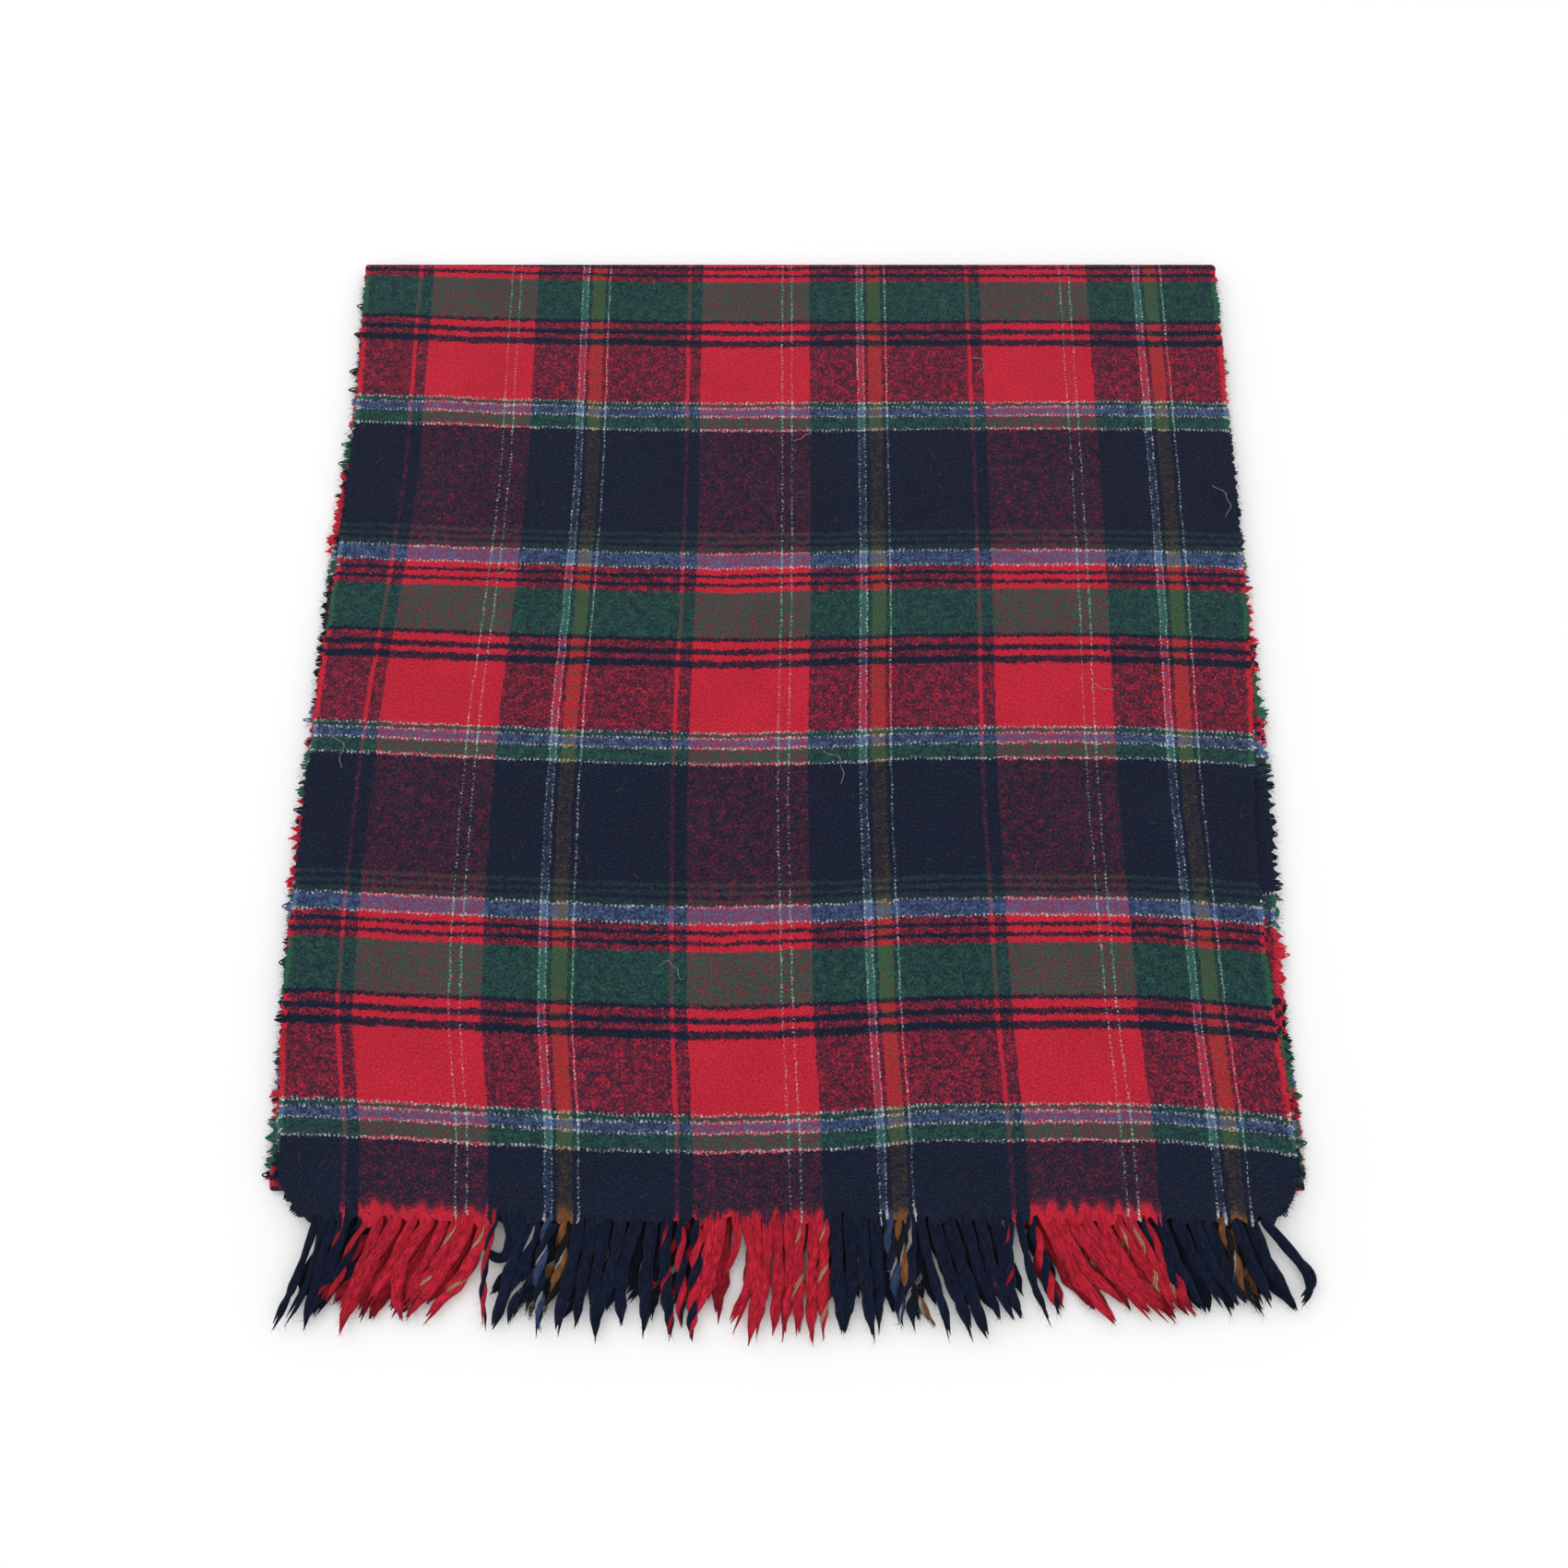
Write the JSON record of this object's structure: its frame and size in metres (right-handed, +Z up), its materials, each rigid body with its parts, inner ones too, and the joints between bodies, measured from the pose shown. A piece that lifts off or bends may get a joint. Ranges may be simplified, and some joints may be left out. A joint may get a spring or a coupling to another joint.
{
  "type": "folded throw blanket",
  "caption": "Plaid woollen throw folded into four layers, with a twisted fringe at both ends; its upper half opens about the outer fold.",
  "frame": {"origin": "centre of the underside of the folded throw's bounding box", "axes": "+X across the cloth's width, +Y from the fringe towards the outer fold, +Z up"},
  "size_m": [0.6345, 0.7538, 0.0122],
  "materials": {
    "plaid_cloth": "brushed woollen cloth, matte with a soft nap, woven plaid in red, green, navy, blue and cream",
    "fringe_red": "twisted and felted red wool, matte",
    "fringe_navy": "twisted and felted navy wool, matte",
    "fringe_accent": "twisted and felted wool in blue, cream and ochre, matte"
  },
  "bodies": {
    "lower_half": {"bottom_fold": "plaid_cloth", "inner_fold": "plaid_cloth", "outer_fold": "plaid_cloth", "panel_3": "plaid_cloth", "panel_4": "plaid_cloth"},
    "upper_half": {"lower_fringe_accent_1": "fringe_accent", "lower_fringe_accent_2": "fringe_accent", "lower_fringe_accent_3": "fringe_accent", "lower_fringe_navy_1": "fringe_navy", "lower_fringe_navy_2": "fringe_navy", "lower_fringe_navy_3": "fringe_navy", "lower_fringe_navy_4": "fringe_navy", "lower_fringe_navy_5": "fringe_navy", "lower_fringe_navy_6": "fringe_navy", "lower_fringe_navy_7": "fringe_navy", "lower_fringe_red_1": "fringe_red", "lower_fringe_red_2": "fringe_red", "lower_fringe_red_3": "fringe_red", "panel_1": "plaid_cloth", "panel_2": "plaid_cloth", "upper_fringe_accent_1": "fringe_accent", "upper_fringe_accent_2": "fringe_accent", "upper_fringe_accent_3": "fringe_accent", "upper_fringe_navy_1": "fringe_navy", "upper_fringe_navy_2": "fringe_navy", "upper_fringe_navy_3": "fringe_navy", "upper_fringe_navy_4": "fringe_navy", "upper_fringe_navy_5": "fringe_navy", "upper_fringe_navy_6": "fringe_navy", "upper_fringe_navy_7": "fringe_navy", "upper_fringe_red_1": "fringe_red", "upper_fringe_red_2": "fringe_red", "upper_fringe_red_3": "fringe_red"}
  },
  "joints": [
    {"name": "unfold", "type": "hinge", "parent": "lower_half", "child": "upper_half", "pos_m": [0, 0.3709, 0.0075], "axis": [-1, 0, 0], "range_deg": [0, 179.9], "deforming": ["outer_fold", "inner_fold"]}
  ]
}
